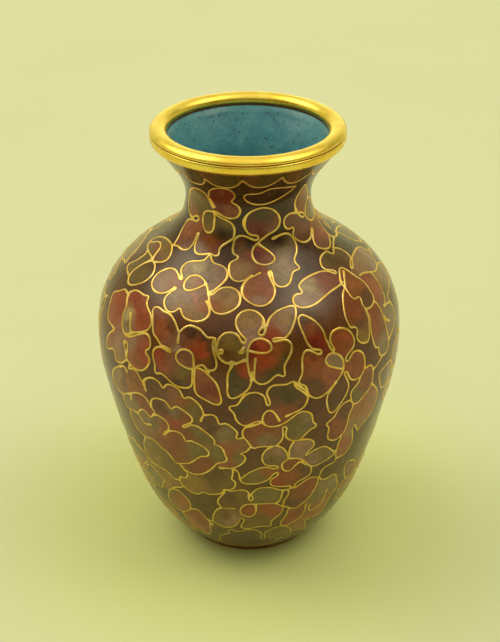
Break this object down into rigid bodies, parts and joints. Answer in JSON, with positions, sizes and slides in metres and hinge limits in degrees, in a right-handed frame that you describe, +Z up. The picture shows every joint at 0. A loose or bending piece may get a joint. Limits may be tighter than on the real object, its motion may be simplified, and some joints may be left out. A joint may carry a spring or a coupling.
{
  "type": "cloisonne vase",
  "caption": "Round-bellied enamelled copper vase with a narrow neck, flared mouth, gilt mouth ring, foot ring and wire-outlined flower decoration.",
  "frame": {"origin": "centre of the foot, on the surface the vase stands on", "axes": "+Z up along the vase axis, -Y towards the decorated front, +X to the right seen from the front"},
  "size_m": [0.0678, 0.0678, 0.1011],
  "materials": {
    "copper": "spun copper, not polished",
    "dark_copper": "darkened copper",
    "gilt_brass": "polished gilt",
    "turquoise_enamel": "glossy fired enamel with small pits",
    "ground_enamel": "glossy fired enamel",
    "rust_enamel": "glossy fired enamel, shaded",
    "brown_enamel": "glossy fired enamel, shaded",
    "lilac_enamel": "glossy fired enamel, shaded",
    "orange_enamel": "glossy fired enamel, shaded",
    "olive_enamel": "glossy fired enamel, shaded"
  },
  "bodies": {
    "root": {"base_enamel": "turquoise_enamel", "collar_enamel": "olive_enamel", "collar_wire": "gilt_brass", "copper_body": "copper", "enamel_bell_blossom_back": "brown_enamel", "enamel_bell_blossom_front": "brown_enamel", "enamel_centre_blossom_front": "lilac_enamel", "enamel_foot_blossom_back": "orange_enamel", "enamel_foot_blossom_front": "orange_enamel", "enamel_lilac_blossom_back": "rust_enamel", "enamel_lilac_blossom_front": "rust_enamel", "enamel_low_blossom_back": "lilac_enamel", "enamel_low_blossom_front": "lilac_enamel", "enamel_lower_blossom_front": "brown_enamel", "enamel_neck_blossom_left_back": "rust_enamel", "enamel_neck_blossom_left_front": "rust_enamel", "enamel_neck_blossom_right_front": "lilac_enamel", "enamel_peony_back": "rust_enamel", "enamel_peony_front": "rust_enamel", "enamel_red_blossom_front": "olive_enamel", "enamel_shoulder_blossom_back": "orange_enamel", "enamel_shoulder_blossom_front": "orange_enamel", "enamel_shoulder_bud_front": "orange_enamel", "enamel_side_blossom_front": "olive_enamel", "enamel_star_blossom_front": "brown_enamel", "foot_ring": "dark_copper", "ground_enamel": "ground_enamel", "lining_enamel": "turquoise_enamel", "mouth_ring": "gilt_brass", "wire_bell_blossom_back": "gilt_brass", "wire_bell_blossom_front": "gilt_brass", "wire_centre_blossom_front": "gilt_brass", "wire_foot_blossom_back": "gilt_brass", "wire_foot_blossom_front": "gilt_brass", "wire_lilac_blossom_back": "gilt_brass", "wire_lilac_blossom_front": "gilt_brass", "wire_low_blossom_back": "gilt_brass", "wire_low_blossom_front": "gilt_brass", "wire_lower_blossom_front": "gilt_brass", "wire_neck_blossom_left_back": "gilt_brass", "wire_neck_blossom_left_front": "gilt_brass", "wire_neck_blossom_right_front": "gilt_brass", "wire_peony_back": "gilt_brass", "wire_peony_front": "gilt_brass", "wire_red_blossom_front": "gilt_brass", "wire_shoulder_blossom_back": "gilt_brass", "wire_shoulder_blossom_front": "gilt_brass", "wire_shoulder_bud_front": "gilt_brass", "wire_side_blossom_front": "gilt_brass", "wire_star_blossom_front": "gilt_brass"}
  },
  "joints": []
}
